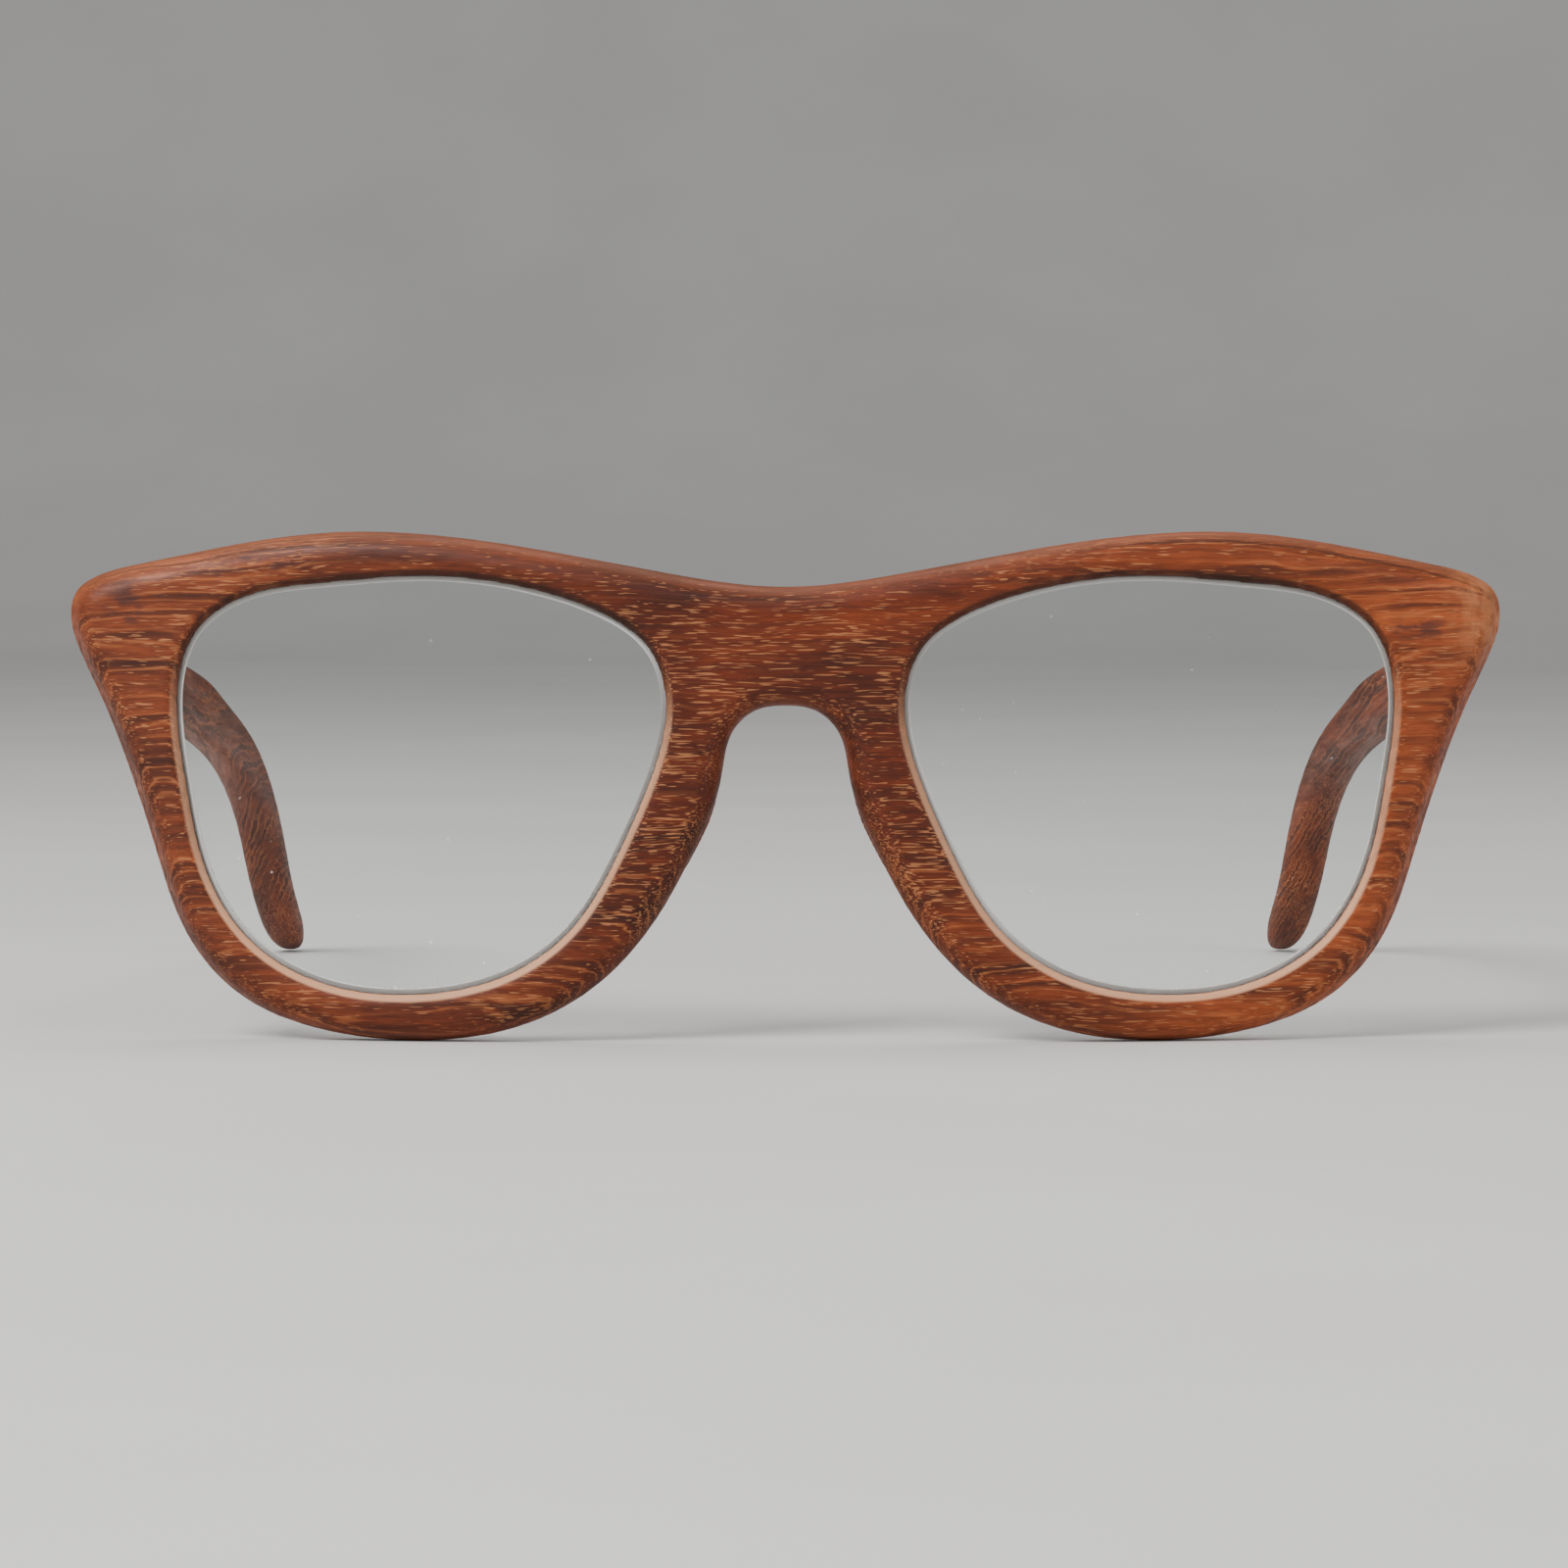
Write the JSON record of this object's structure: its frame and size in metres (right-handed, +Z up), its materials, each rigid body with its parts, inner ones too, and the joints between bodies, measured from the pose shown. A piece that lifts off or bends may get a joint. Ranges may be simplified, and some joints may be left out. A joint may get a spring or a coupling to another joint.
{
  "type": "wooden eyeglasses",
  "caption": "Wooden full-rim eyeglasses standing open: curved front with softly square lenses, carved nose pads, spring hinges and ear-bent temples.",
  "frame": {"origin": "centre of the footprint on the table the glasses stand on", "axes": "+X across the face to the wearer's left, -Y the way the front faces, +Y along the temples, +Z up"},
  "size_m": [0.1486, 0.1374, 0.0525],
  "materials": {
    "front_wood": "oiled satin, grain across the face",
    "temple_wood": "oiled satin, grain along the temple",
    "pad_wood": "oiled satin",
    "lens": "clear polished demonstration lens",
    "hinge_steel": "brushed",
    "screw_steel": "turned and polished",
    "spring_steel": "drawn wire"
  },
  "bodies": {
    "front": {"front_frame": "front_wood", "left_lens": "lens", "left_nose_pad": "pad_wood", "left_hinge_front_leaf": "hinge_steel", "left_hinge_pivot_screw": "screw_steel", "left_hinge_leaf_screws": "screw_steel", "right_lens": "lens", "right_nose_pad": "pad_wood", "right_hinge_front_leaf": "hinge_steel", "right_hinge_pivot_screw": "screw_steel", "right_hinge_leaf_screws": "screw_steel"},
    "left_slider": {"left_hinge_slider": "hinge_steel"},
    "left_arm": {"left_temple": "temple_wood", "left_hinge_case": "hinge_steel", "left_hinge_guide": "hinge_steel", "left_hinge_spring": "spring_steel", "left_hinge_case_screws": "screw_steel"},
    "right_slider": {"right_hinge_slider": "hinge_steel"},
    "right_arm": {"right_temple": "temple_wood", "right_hinge_case": "hinge_steel", "right_hinge_guide": "hinge_steel", "right_hinge_spring": "spring_steel", "right_hinge_case_screws": "screw_steel"}
  },
  "joints": [
    {"name": "left_fold", "type": "hinge", "parent": "front", "child": "left_slider", "pos_m": [0.066, -0.05318, 0.0392], "axis": [0, 0, 1], "range_deg": [0, 90]},
    {"name": "left_spring_slide", "type": "slide", "parent": "left_slider", "child": "left_arm", "axis": [0, 0.9925, -0.1219], "range_m": [0, 0.0012], "stiffness_N_per_m": 1500, "springref_m": -0.0006, "deforming": ["left_hinge_spring"]},
    {"name": "right_fold", "type": "hinge", "parent": "front", "child": "right_slider", "pos_m": [-0.066, -0.05318, 0.0392], "axis": [0, 0, -1], "range_deg": [0, 82]},
    {"name": "right_spring_slide", "type": "slide", "parent": "right_slider", "child": "right_arm", "axis": [0, 0.9925, -0.1219], "range_m": [0, 0.0012], "stiffness_N_per_m": 1500, "springref_m": -0.0006, "deforming": ["right_hinge_spring"]}
  ]
}
